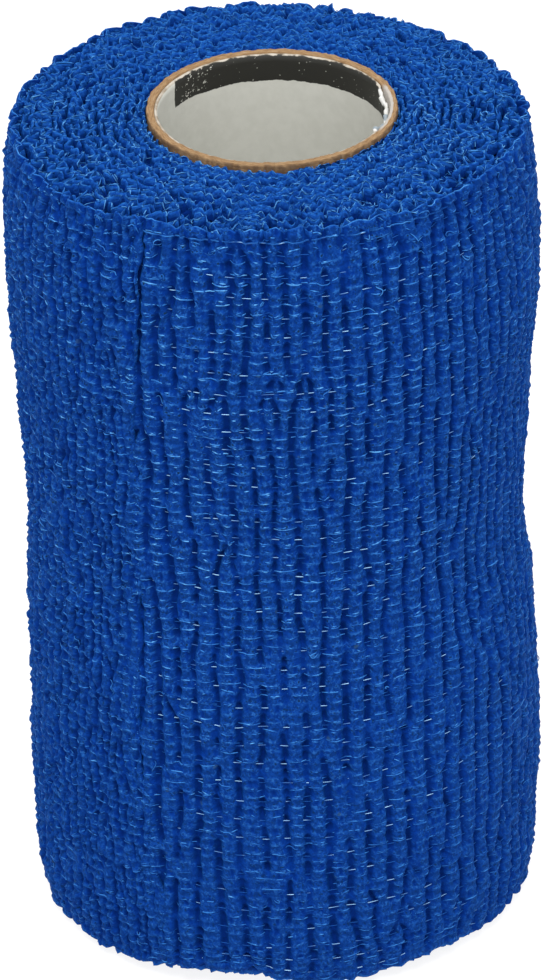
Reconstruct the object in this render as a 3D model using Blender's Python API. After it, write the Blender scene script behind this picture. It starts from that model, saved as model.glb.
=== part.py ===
"""Cohesive crepe bandage, wound on a paperboard core and standing on end.

Metres, +Z up. The roll's axis is Z, its front faces -Y, and the origin is the
centre of the end that it stands on. The bandage is one solid of its wound
form: a spiral section whose loose end shows as a step down the front left.
"""

import math
from collections import namedtuple

import bmesh
import bpy

# Sizes along the axis, in metres
CORE_HEIGHT = 0.1000        # the nominal width of the bandage, and its core's length
CLOTH_TOP = 0.0996          # the core stands a little proud of the cloth
LINER_RECESS = 0.0003       # the lining ply stops short of both ends of the core

# Radii and thicknesses, in metres
CORE_RADIUS = 0.0141
CORE_WALL = 0.0009
LINER_WALL = 0.0003
PIECE_GAP = 0.0003          # clearance between neighbouring pieces
TURN_THICKNESS = 0.0008     # one turn of crepe, which is the height of the step

# Divisions
COLUMNS = 92                # round the roll, between the two sides of the step
STEP_WIDTH = 0.5            # degrees of arc that the step takes
ROUNDING_STEPS = 5
WALL_ROWS = 20
CORE_COLUMNS = 96

# The wall of the roll, from the bottom up. radius is to the tops of its ribs just
# past the loose end, shift moves that level's centre along X, and loose_end is the
# azimuth of the loose end in degrees, from the front towards +X.
Section = namedtuple("Section", "height radius shift loose_end")
SECTIONS = (
    Section(0.007, 0.02950, 0.00000, -29.0),
    Section(0.020, 0.02975, 0.00010, -32.0),
    Section(0.035, 0.02945, 0.00010, -35.0),
    Section(0.050, 0.02865, -0.00036, -34.5),
    Section(0.065, 0.02940, -0.00025, -33.5),
    Section(0.080, 0.03050, -0.00005, -32.0),
    Section(0.093, 0.03025, -0.00040, -30.0),
)

# How softly the outer turns round off at the two ends, by azimuth in degrees
Rounding = namedtuple("Rounding", "azimuth top bottom")
ROUNDINGS = (
    Rounding(-180.0, 0.0040, 0.0038),
    Rounding(-110.0, 0.0036, 0.0042),
    Rounding(-25.0, 0.0040, 0.0056),
    Rounding(45.0, 0.0042, 0.0040),
    Rounding(110.0, 0.0037, 0.0044),
    Rounding(180.0, 0.0040, 0.0038),
)

# Slow lumps in the wall: waves round the roll, waves up it, height and phase
Lump = namedtuple("Lump", "around up height phase")
LUMPS = (
    Lump(3, 1.5, 0.00012, 0.4),
    Lump(5, -2.5, 0.00009, 1.9),
    Lump(8, 4.0, 0.00006, 3.1),
)


def eased(rows, key, column, at):
    """A column of a table at one place, eased from row to row without overshoot."""
    places = [getattr(row, key) for row in rows]
    values = [getattr(row, column) for row in rows]
    if at <= places[0]:
        return values[0]
    for low, high, before, after in zip(places, places[1:], values, values[1:]):
        if at <= high:
            share = (at - low) / (high - low)
            return before + (after - before) * share * share * (3 - 2 * share)
    return values[-1]


def lumps(azimuth, height):
    """How far the slow lumps push the wall out at one place."""
    up = 2 * math.pi * height / CLOTH_TOP
    around = math.radians(azimuth)
    return sum(
        lump.height * math.sin(lump.around * around + lump.up * up + lump.phase)
        for lump in LUMPS
    )


def wound_radius(azimuth, turned, height):
    """Radius of the outer turn. turned runs from 0 at the loose end to 1 under it."""
    full = eased(SECTIONS, "height", "radius", height)
    return full - TURN_THICKNESS * turned + lumps(azimuth, height)


def wall_profile(azimuth, turned):
    """The section of the roll in one plane, as (radius, height), anticlockwise."""
    bore = CORE_RADIUS + PIECE_GAP
    turned_azimuth = (azimuth + 180.0) % 360.0 - 180.0
    low = eased(ROUNDINGS, "azimuth", "bottom", turned_azimuth)
    high = eased(ROUNDINGS, "azimuth", "top", turned_azimuth)
    foot = wound_radius(azimuth, turned, low)
    head = wound_radius(azimuth, turned, CLOTH_TOP - high)
    profile = [(bore, 0.0)]
    for step in range(ROUNDING_STEPS):
        angle = 0.5 * math.pi * step / ROUNDING_STEPS
        profile.append((foot - low + low * math.sin(angle), low - low * math.cos(angle)))
    for row in range(WALL_ROWS + 1):
        height = low + (CLOTH_TOP - high - low) * row / WALL_ROWS
        profile.append((wound_radius(azimuth, turned, height), height))
    for step in range(1, ROUNDING_STEPS + 1):
        angle = 0.5 * math.pi * step / ROUNDING_STEPS
        profile.append(
            (head - high + high * math.cos(angle), CLOTH_TOP - high + high * math.sin(angle))
        )
    profile.append((bore, CLOTH_TOP))
    return profile


def roll_column(from_step, turned):
    """One upright line of points round the roll's section.

    from_step is the angle in degrees past the loose end, going clockwise as seen
    from above. The loose end wanders with the height, and the line goes with it,
    while the bore stays round.
    """
    points = []
    for radius, height in wall_profile(SECTIONS[0].loose_end - from_step, turned):
        azimuth = math.radians(eased(SECTIONS, "height", "loose_end", height) - from_step)
        inside = radius <= CORE_RADIUS + PIECE_GAP
        shift = 0.0 if inside else eased(SECTIONS, "height", "shift", height)
        points.append((shift + radius * math.sin(azimuth), -radius * math.cos(azimuth), height))
    return points


def tube_columns(outer, wall, low, high):
    """The upright section lines of a plain tube."""
    inner = outer - wall
    profile = [(inner, low), (outer, low), (outer, high), (inner, high)]
    columns = []
    for column in range(CORE_COLUMNS):
        angle = 2 * math.pi * column / CORE_COLUMNS
        columns.append([(r * math.sin(angle), r * math.cos(angle), z) for r, z in profile])
    return columns


def ring_solid(name, columns, material):
    """A closed ring from section lines that follow one another round the axis."""
    shape = bmesh.new()
    lines = [[shape.verts.new(point) for point in line] for line in columns]
    for line, following in zip(lines, lines[1:] + lines[:1]):
        for index, vert in enumerate(line):
            after = (index + 1) % len(line)
            shape.faces.new((vert, following[index], following[after], line[after]))
    bmesh.ops.recalc_face_normals(shape, faces=shape.faces)
    mesh = bpy.data.meshes.new(name)
    shape.to_mesh(mesh)
    shape.free()
    mesh.shade_smooth()
    mesh.set_sharp_from_angle(angle=math.radians(35))
    mesh.materials.append(material)
    solid = bpy.data.objects.new(name, mesh)
    bpy.context.scene.collection.objects.link(solid)
    return solid


def plain_material(name, color, roughness):
    """A non-metal surface of one colour."""
    material = bpy.data.materials.new(name)
    material.use_nodes = True
    shader = material.node_tree.nodes["Principled BSDF"]
    shader.inputs["Base Color"].default_value = (*color, 1.0)
    shader.inputs["Roughness"].default_value = roughness
    shader.inputs["Metallic"].default_value = 0.0
    return material


def bandage_roll():
    """The wound bandage: one solid, with the loose end's step down its wall."""
    columns = [roll_column(0.0, 0.0)]
    sweep = 360.0 - STEP_WIDTH
    for column in range(1, COLUMNS + 1):
        share = column / COLUMNS
        columns.append(roll_column(sweep * share, share))
    crepe = plain_material("crepe_blue", (0.008, 0.05, 0.26), 0.85)
    return ring_solid("bandage_roll", columns, crepe)


def core_tube():
    """The paperboard tube that the bandage is wound on."""
    columns = tube_columns(CORE_RADIUS, CORE_WALL, 0.0, CORE_HEIGHT)
    board = plain_material("kraft_board", (0.40, 0.27, 0.15), 0.9)
    return ring_solid("core_tube", columns, board)


def core_liner():
    """The white paper ply that lines the tube."""
    outer = CORE_RADIUS - CORE_WALL - PIECE_GAP
    columns = tube_columns(outer, LINER_WALL, LINER_RECESS, CORE_HEIGHT - LINER_RECESS)
    paper = plain_material("white_paper", (0.46, 0.46, 0.42), 0.6)
    return ring_solid("core_liner", columns, paper)


def main():
    for item in list(bpy.data.objects):
        bpy.data.objects.remove(item)
    bandage_roll()
    core_tube()
    core_liner()


main()
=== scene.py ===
"""Looks of a cohesive crepe bandage roll that stands on its end.

The outer turn is a relief of crepe ribs and creases, with elastic threads drawn
across the creases and fine yarns on the ribs. The cut ends show every turn's
ruffled edge, wound round a paperboard core. Lengths are in millimetres, except
where a name ends in _M; mesh_object turns them into metres.
"""

import math
from functools import reduce

import bpy
import numpy as np
from mathutils import Matrix, Vector
from mathutils.bvhtree import BVHTree


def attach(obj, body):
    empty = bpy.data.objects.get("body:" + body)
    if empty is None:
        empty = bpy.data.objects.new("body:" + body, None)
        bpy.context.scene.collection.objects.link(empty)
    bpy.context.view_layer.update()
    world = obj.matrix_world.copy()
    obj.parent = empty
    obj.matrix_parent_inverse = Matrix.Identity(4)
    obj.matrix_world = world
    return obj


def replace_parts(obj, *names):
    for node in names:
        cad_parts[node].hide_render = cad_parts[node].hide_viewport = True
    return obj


METRE = 1000.0

# The loose end of the outer turn, as the solid has it, in degrees from the front
LOOSE_HEIGHTS = np.array([7.0, 20.0, 35.0, 50.0, 65.0, 80.0, 93.0])
LOOSE_AZIMUTHS = np.array([-29.0, -32.0, -35.0, -34.5, -33.5, -32.0, -30.0])

# The outer turn
CLOTH_TOP = 99.6            # the roll's upper end
ARC = 186.0                 # length of the outer turn, measured on its ribs
TURN_THICKNESS = 0.8        # what one turn adds to the radius
WALL_LOW = 0.95             # the outer turn's edges lie inside the roll's ends
WALL_HIGH = 98.80
WALL_COLUMNS = 901
WALL_ROWS = 288
SECTORS = 3                 # the outer turn's mesh is kept in this many pieces
TUCK = 2.5                  # how far the turn goes on under its own loose end

# How the cloth turns in at its ends and at its loose edge, as (inward, onward)
END_LIP = ((0.05, 0.10), (0.20, 0.17), (0.38, 0.08), (0.46, -0.30), (0.60, -1.2), (0.90, -2.5))
EDGE_LIP = ((0.10, 0.06), (0.34, 0.10), (0.60, 0.02), (0.85, -0.35))

# Creases between the ribs
CREASE_STEP = 1.21          # a crease changes course and depth from one yarn to the next
CREASE_GAPS = (2.15, 3.30)  # least and most distance between neighbouring creases
CREASE_SIDE = 1.3           # how far outside the cloth the creases keep their distance from
CREASE_DEPTH = 0.89
CREASE_HALF_WIDTH = 0.37
CREASE_SHOWS = 0.18         # a crease parts two ribs from this share of its full depth
CREASE_NARROW = 0.74        # two creases may join below this share of the least distance
CREASE_WIDE = 0.98          # one may start between them above this share of the most
CREASE_JOIN_CHANCE = 0.60
CREASE_START_CHANCE = 0.90
CREASE_END_CHANCE = 0.04
CREASE_JOG_CHANCE = 0.10    # a jog is a jump to one side between two yarns
CREASE_JOGS = (0.25, 0.55)
CREASE_PULL = 0.11          # how strongly a crease makes for the middle of its neighbours
SHUT_DEPTHS = (0.08, 0.40)
OPEN_DEPTHS = (0.55, 1.05)
WEAK_BRIDGES = (0.0, 0.20)  # how far a yarn closes the crease that it crosses
FIRM_BRIDGES = (0.35, 0.75)
BRIDGE_WIDTH = 0.24         # in steps from yarn to yarn
RIB_SWELL = 0.26            # how far the middle of a rib stands over its sides
PIT_STEP = 1.08             # from one small open cell of the cloth to the next, along a yarn

# Threads
ELASTIC_STEP = 2.42
ELASTIC_FIRST = 2.0         # height of the lowest
ELASTIC_FROM = 36.0         # nearer the loose end the cloth hides the elastic threads
ELASTIC_RADIUS = 0.052
ELASTIC_LEVEL = -0.38       # below the tops of the ribs
YARN_STEP = 1.21
YARN_RADIUS = 0.080
YARN_SHORT = 0.46           # share of the yarns that show only on the middle of a rib
YARN_LONG = 0.68            # share that run across a rib
RIM_THREAD_FROM = 148.0     # where on the turn the uppermost thread comes into view
LOOPS = 170

# The cut ends
TURNS = 18.0
OUTER_INSET = 0.95          # from the ribs' tops to the middle of the outer turn's edge
BODY_INSET = 1.95           # from there to the hidden body of the roll
CORE_GAP = 0.30             # from the core to the middle of the innermost turn
CLOTH_PITCH = 0.82          # from turn to turn
WAVE = 1.35                 # length of the ruffles in the turns' edges
OUTER_WAVE = 0.8            # how much longer they are in the outermost turns
RUFFLE_STEPS = (2.6, 1.9, 0.48, 0.80, 0.40, 7.0)    # of the ruffles' six random functions

# Each end's seed, the step along its folded band and how many short yarns it shows
ENDS = (("top", 400, 0.235, 4300), ("bottom", 500, 0.42, 600))

# A turn's edge in section, as (beside its middle, below its edge)
RIBBON = ((-0.37, 1.35), (-0.12, 0.34), (0.0, 0.0), (0.12, 0.34), (0.37, 1.35))

# How far the outer turn's lower edge hangs above the ground, by azimuth
FOOT_AZIMUTHS = (-180, -120, -75, -50, -38, -25, -8, 4, 20, 34, 60, 120, 180)
FOOT_RISES = (0.3, 0.4, 0.2, 0.3, 0.8, 1.9, 2.3, 1.0, 1.1, 1.6, 0.5, 0.3, 0.3)

# How far its upper edge strays from its level and how high the arches on its ribs are
HEAD_AZIMUTHS = (-180, -155, -130, -100, -60, -30, 30, 60, 100, 155, 180)
HEAD_RISES = (-0.75, -0.50, -0.60, -0.45, -0.05, 0.25, 0.25, 0.0, -0.40, -1.05, -0.75)
HEAD_ARCHES = (0.15, 0.15, 0.20, 0.25, 0.55, 1.15, 1.15, 0.6, 0.25, 0.15, 0.15)

# The core
CORE_RADIUS = 14.1
CORE_INNER = 13.2
LINER_INNER = 12.85
CORE_COLUMNS = 420
TORN_FROM, TORN_TO = 60.0, 112.0    # azimuths between which the lining ply is torn
BAND_MIDDLE = 169.0                 # azimuth of the dark band printed inside the core
BAND_HALF = 69.0

# The board's section as (radius, height, how far it frays)
BOARD_ROWS = (
    (14.05, 0.10, 0.0), (14.05, 98.6, 0.0), (14.08, 99.70, 1.0), (14.06, 99.93, 1.0),
    (13.95, 100.0, 0.7), (13.64, 100.0, 0.2), (13.36, 99.99, 0.1), (13.24, 99.93, 0.0),
    (CORE_INNER, 99.6, 0.0), (CORE_INNER, 0.5, 0.0), (13.3, 0.02, 0.0), (13.9, 0.02, 0.0),
)

# The view
TARGET_M = (-0.0011, 0.0, 0.0505)
DISTANCE_M = 1.101
ELEVATION = 29.96
ROLL = 1.33
FOCAL_PIXELS = 9629.0
FRAME_HEIGHT = 980.0
SENSOR = 36.0

# The studio
FLOOR_HALF_M = 3.0
FLOOR_GLOW = 0.86
SURROUND = 0.95
LIGHT_PLACE_M = (-0.02, -0.75, 1.6)
LIGHT_AIM_M = (0.0, 0.0, 0.05)
LIGHT_SIZE_M = 0.9
LIGHT_POWER = 23.0


# ---------------------------------------------------------------- small tools


def smooth(t):
    """Eases 0 to 1."""
    t = np.clip(t, 0.0, 1.0)
    return t * t * (3.0 - 2.0 * t)


def wander(seed, step, length=ARC):
    """A smooth random function of one length, about -1 to 1."""
    knots = np.random.default_rng(seed).uniform(-1.0, 1.0, int(length / step) + 6)

    def value(x):
        place = np.asarray(x, float) / step + 2.0
        index = np.clip(place.astype(int), 0, len(knots) - 2)
        share = smooth(place - index)
        return knots[index] * (1.0 - share) + knots[index + 1] * share

    return value


def blend(field, i, j, a, b):
    """A grid's value between its points: shares a and b of the way on from point i, j."""
    low = field[i, j] * (1 - a) + field[i + 1, j] * a
    high = field[i, j + 1] * (1 - a) + field[i + 1, j + 1] * a
    return low * (1 - b) + high * b


def patches(seed, step_u, step_v):
    """A smooth random function over the cloth, about -1 to 1."""
    shape = (int(ARC / step_u) + 8, int(CLOTH_TOP / step_v) + 8)
    knots = np.random.default_rng(seed).uniform(-1.0, 1.0, shape)

    def value(u, v):
        across = np.clip(u / step_u + 2, 0, shape[0] - 2.001)
        up = np.clip(v / step_v + 2, 0, shape[1] - 2.001)
        i, j = across.astype(int), up.astype(int)
        return blend(knots, i, j, smooth(across - i), smooth(up - j))

    return value


def add(name, data):
    """A new object in the scene."""
    item = bpy.data.objects.new(name, data)
    bpy.context.scene.collection.objects.link(item)
    return item


def mesh_object(name, points, faces, material, fields, normals=None):
    """A shaded piece from points in millimetres and lists of corners. fields holds a number
    or a vector for each point."""
    mesh = bpy.data.meshes.new(name)
    mesh.from_pydata((points / METRE).reshape(-1, 3), [], faces)
    mesh.shade_smooth()
    for field, values in fields.items():
        vector = values.size == points.size
        layer = mesh.attributes.new(field, "FLOAT_VECTOR" if vector else "FLOAT", "POINT")
        layer.data.foreach_set("vector" if vector else "value", values.astype(np.float32).ravel())
    if normals is not None:
        mesh.normals_split_custom_set_from_vertices(normals.reshape(-1, 3).tolist())
    mesh.materials.append(material)
    piece = add(name, mesh)
    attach(piece, "root")
    return piece


def grid_object(name, points, material, fields, wrap=False, normals=None):
    """A piece from points with shape (columns, rows, 3), with columns running clockwise as
    seen from above and rows running up the outside. wrap joins both ends of both."""
    columns, rows = points.shape[:2]
    i, j = np.meshgrid(
        np.arange(columns if wrap else columns - 1),
        np.arange(rows if wrap else rows - 1),
        indexing="ij",
    )
    following, above = (i + 1) % columns, (j + 1) % rows
    corners = [i * rows + j, i * rows + above, following * rows + above, following * rows + j]
    faces = np.stack(corners, -1).reshape(-1, 4).tolist()
    return mesh_object(name, points, faces, material, fields, normals)


def around(azimuth, radius, height):
    """Points round the axis from azimuths in degrees, radii and heights."""
    angle = np.radians(azimuth)
    return np.stack([radius * np.sin(angle), -radius * np.cos(angle), height + 0 * radius], -1)


def unit(vectors):
    """The vectors, each brought to a length of one."""
    return vectors / np.maximum(np.linalg.norm(vectors, axis=-1, keepdims=True), 1e-9)


def thread_object(name, paths, radius, outward, sides, material, tone):
    """A piece of thin closed tubes that taper at their ends. paths is (tubes, stations, 3),
    and tone is a number for each station."""
    count, stations = paths.shape[:2]
    tone = np.broadcast_to(tone, (count, stations))
    taper = np.ones(stations)
    taper[[0, -1]] = 0.6
    along = unit(np.gradient(paths, axis=1))
    side = unit(np.cross(along, outward))
    up = np.cross(side, along)
    turns = 2 * math.pi * np.arange(sides) / sides
    ring = side[:, :, None] * np.cos(turns)[:, None] + up[:, :, None] * np.sin(turns)[:, None]
    points = paths[:, :, None] + ring * (radius * tone ** 0.25 * taper)[..., None, None]
    first = np.arange(count)[:, None, None] * stations * sides
    s, k = np.meshgrid(np.arange(stations - 1), np.arange(sides), indexing="ij")
    here = s * sides + k
    beside = s * sides + (k + 1) % sides
    quads = first[..., None] + np.stack([here, here + sides, beside + sides, beside], -1)
    ends = np.stack([np.arange(sides), (stations - 1) * sides + np.arange(sides)[::-1]])
    faces = quads.reshape(-1, 4).tolist() + (first + ends).reshape(-1, sides).tolist()
    return mesh_object(name, points, faces, material, {"tone": np.repeat(tone.ravel(), sides)})


# ---------------------------------------------------------------- the outer turn


def loose_end(height):
    """Azimuth of the loose end in degrees at a height, eased as the solid's is."""
    height = np.clip(height, LOOSE_HEIGHTS[0], LOOSE_HEIGHTS[-1])
    index = np.clip(np.searchsorted(LOOSE_HEIGHTS, height) - 1, 0, len(LOOSE_HEIGHTS) - 2)
    gap = LOOSE_HEIGHTS[index + 1] - LOOSE_HEIGHTS[index]
    share = smooth((height - LOOSE_HEIGHTS[index]) / gap)
    return LOOSE_AZIMUTHS[index] * (1 - share) + LOOSE_AZIMUTHS[index + 1] * share


class OuterTurn:
    """Where a point of the outer turn lies on the roll.

    u runs clockwise round the roll, seen from above, from the loose end; v is the
    height; and out is how far the point stands off the tops of the ribs.
    """

    COLUMNS = 181
    ROWS = 61
    LOW, HIGH = 6.5, 94.5   # between the roundings of the solid's two ends
    MARGIN = 0.004          # share of a turn that keeps the rays clear of the step
    START = 60.0            # the rays start this far from the axis

    def __init__(self, node):
        corners = [vertex.co * METRE for vertex in node.data.vertices]
        tree = BVHTree.FromPolygons(corners, [face.vertices[:] for face in node.data.polygons])
        self.radii = np.zeros((self.COLUMNS, self.ROWS))
        for i in range(self.COLUMNS):
            share = self.MARGIN + (1 - 2 * self.MARGIN) * i / (self.COLUMNS - 1)
            for j in range(self.ROWS):
                height = self.LOW + (self.HIGH - self.LOW) * j / (self.ROWS - 1)
                angle = math.radians(loose_end(height) - 360.0 * share)
                outward = Vector((math.sin(angle), -math.cos(angle), 0.0))
                start = self.START * outward + Vector((0.0, 0.0, height))
                self.radii[i, j] = self.START - tree.ray_cast(start, -outward)[3]

    def radius(self, u, v):
        """The solid's radius, carried on past the loose end as one more turn."""
        share = u / ARC
        across = np.clip(share, 0, 1) * (self.COLUMNS - 1)
        up = np.clip((v - self.LOW) / (self.HIGH - self.LOW), 0, 1) * (self.ROWS - 1)
        i = np.minimum(across.astype(int), self.COLUMNS - 2)
        j = np.minimum(up.astype(int), self.ROWS - 2)
        solid = blend(self.radii, i, j, across - i, up - j)
        return solid - TURN_THICKNESS * np.clip(share - 1, 0, None)

    def place(self, u, v, out):
        """Points of the cloth, in millimetres."""
        return around(loose_end(v) - 360.0 * u / ARC, self.radius(u, v) + out - lean(v), v)

    def outward(self, u, v):
        """The level direction away from the axis."""
        return around(loose_end(v) - 360.0 * u / ARC, np.ones(u.shape), 0.0)


def lean(v):
    """How far the wall has drawn in towards the roll's two ends."""
    return 0.9 * smooth((v - 91.0) / 8.6) + 0.9 * smooth((7.0 - v) / 7.0)


def by_azimuth(u, azimuths, values):
    """A table's value at each place on the turn."""
    azimuth = (LOOSE_AZIMUTHS[0] - 360.0 * u / ARC + 180.0) % 360.0 - 180.0
    return np.interp(azimuth, azimuths, values)


SWAY = patches(61, 5.0, 6.0)


def sway(u, v):
    """How far the rows of yarn stray up or down."""
    return 0.28 * SWAY(u, v)


class Crease:
    """One crease: its course up the wall, how deep it is and how far each yarn closes it."""

    def __init__(self, v, u, depth):
        self.v, self.u, self.depth, self.bridge = [v], [u], [depth], [0.0]

    def grow(self, v, u, depth, bridge):
        self.v.append(v)
        self.u.append(u)
        self.depth.append(depth)
        self.bridge.append(bridge)

    def at(self, v):
        """Where the crease is at heights v and how deep, fading out past its ends."""
        step = (v - self.v[0]) / CREASE_STEP
        fade = smooth(step + 1) * smooth((self.v[-1] - v) / CREASE_STEP + 1)
        whole = np.floor(step)
        rest = step - whole
        steep = whole + smooth((rest - 0.25) / 0.5)
        depth = np.interp(steep, np.arange(len(self.depth)), self.depth)
        bridge = np.array(self.bridge)[np.clip(whole.astype(int) + 1, 0, len(self.bridge) - 1)]
        depth *= 1.0 - bridge * np.exp(-(((rest - 0.5) / BRIDGE_WIDTH) ** 2))
        return np.interp(v, self.v, self.u), depth * fade


def openness(u, v):
    """How wide the ribs are: narrow at the left, and a little wider low on the front."""
    low = 0.13 * smooth((75.0 - v) / 30.0)
    return 0.97 + low * smooth((u - 142.0) / 14.0) - 0.36 * smooth((26.0 - u) / 22.0)


def crumpling(seed):
    """How crumpled the cloth is, from 0 in long straight ribs up to 1: most at the left and
    near both edges, least on the front."""
    lumps = patches(seed, 14.0, 11.0)

    def value(u, v):
        front = smooth((u - 140.0) / 15.0)
        left = 0.85 * smooth((60.0 - u) / 30.0)
        right = 0.36 * smooth((148.0 - u) / 12.0)
        under = 0.08 * smooth((u - ARC + 12.0) / 10.0)
        low = (0.30 - 0.22 * front) * smooth((22.0 - v) / 14.0)
        high = (0.85 - 0.35 * front) * smooth((v - 91.0) / 6.0)
        sides = np.maximum(np.maximum(left, right), under)
        lumps_here = (0.30 - 0.08 * front) * lumps(u, v)
        return np.clip(0.16 + np.maximum(sides, low + high) + lumps_here, 0.0, 1.0)

    return value


def next_depth(draw, depth, crumple, beside):
    """A crease's depth at the next yarn. It stays much as it is, shuts or opens: it shuts
    oftener in crumpled cloth, and seldom where the crease beside it is shut."""
    if draw.uniform() > 0.60 + 0.12 * crumple:
        return np.clip(depth + draw.normal(0.0, 0.12), 0.15, 1.05)
    share = 0.4 if beside < 0.42 else 1.0
    if draw.uniform() < (0.11 + 0.34 * crumple) * share:
        return draw.uniform(*SHUT_DEPTHS)
    return draw.uniform(*OPEN_DEPTHS)


def go_on(draw, creases, v, crumpled):
    """Takes the creases up to the next yarn. Returns those that go on and those that end."""
    drift = float(loose_end(v) - loose_end(v - CREASE_STEP)) * ARC / 360.0
    places = np.array([crease.u[-1] for crease in creases])
    left = np.diff(places, prepend=-CREASE_SIDE)
    right = np.diff(places, append=ARC + TUCK + CREASE_SIDE)
    kept, ended, depth = [], [], 1.0
    for crease, u, before, after in zip(creases, places, left, right):
        crumple = float(crumpled(u, v))
        narrow = min(before, after) / openness(u, v) < CREASE_NARROW * CREASE_GAPS[0]
        chance = CREASE_END_CHANCE * (1 + crumple) + (CREASE_JOIN_CHANCE if narrow else 0.0)
        outside = not -0.5 < u + drift < ARC + TUCK + 0.5
        if draw.uniform() < chance or outside:
            if narrow:
                aside = after if after < before else -before
                crease.grow(v, u + 0.5 * aside, 0.5 * crease.depth[-1], 0.0)
            ended.append(crease)
            continue
        step = drift + CREASE_PULL * np.clip(after - before, -1.5, 1.5)
        step += draw.normal(0.0, 0.10 + 0.08 * crumple)
        if draw.uniform() < CREASE_JOG_CHANCE:
            step += draw.uniform(*CREASE_JOGS) * draw.choice([-1.0, 1.0])
        depth = next_depth(draw, crease.depth[-1], crumple, depth)
        firm = draw.uniform() < 0.36 + 0.35 * crumple
        crease.grow(v, u + step, depth, draw.uniform(*(FIRM_BRIDGES if firm else WEAK_BRIDGES)))
        kept.append(crease)
    return kept, ended


def start_between(draw, creases, v):
    """Creases that start where their neighbours lie far apart."""
    places = [-CREASE_SIDE] + [crease.u[-1] for crease in creases] + [ARC + TUCK + CREASE_SIDE]
    started = []
    for before, after in zip(places, places[1:]):
        wide = after - before > CREASE_WIDE * CREASE_GAPS[1] * openness(before, v)
        if wide and draw.uniform() < CREASE_START_CHANCE:
            middle = before + (after - before) * draw.uniform(0.42, 0.58)
            started.append(Crease(v, middle, draw.uniform(0.4, 0.9)))
    return started


def grow_creases(seed, crumpled):
    """Creases from the bottom edge to the top one: they wander, end, join and start."""
    draw = np.random.default_rng(seed)
    start = ELASTIC_FIRST - 3 * CREASE_STEP
    growing, done = [], []
    u = draw.uniform(0.6, 1.6)
    while u < ARC + TUCK:
        growing.append(Crease(start, u, draw.uniform(0.4, 1.0)))
        u += draw.uniform(*CREASE_GAPS) * openness(u, start)
    for v in np.arange(start + CREASE_STEP, CLOTH_TOP + 1.0, CREASE_STEP):
        growing, ended = go_on(draw, growing, v, crumpled)
        done += ended
        growing += start_between(draw, growing, v)
        growing.sort(key=lambda crease: crease.u[-1])
    return done + growing


def open_cells(seed, u, v):
    """The small open cells between the yarns, 0 to 1: pits in the cloth, which are painted dark as
    shade.
    """
    draw = np.random.default_rng(seed)
    shape = (int((ARC + TUCK) / PIT_STEP) + 8, int(CLOTH_TOP / YARN_STEP) + 8)
    shift = draw.uniform(-0.45, 0.45, shape)
    for row in range(1, shape[1]):
        shift[:, row] = 0.7 * shift[:, row - 1] + 0.5 * shift[:, row]
    depth = np.clip(draw.uniform(-0.6, 1.1, shape), 0.0, 1.0)
    half = draw.uniform(0.19, 0.38, shape)
    up = (v - ELASTIC_FIRST) / YARN_STEP + 4.5
    row = up.astype(int)
    cells = np.zeros(u.shape)
    for beside in (-1, 0, 1):
        column = np.floor(u / PIT_STEP).astype(int) + beside + 2
        middle = (column - 1.5 + shift[column, row]) * PIT_STEP
        cell = depth[column, row] * np.exp(-((np.abs(u - middle) / half[column, row]) ** 3))
        cells = np.maximum(cells, cell)
    return cells * np.sin(math.pi * (up - row)) ** 0.6


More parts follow.
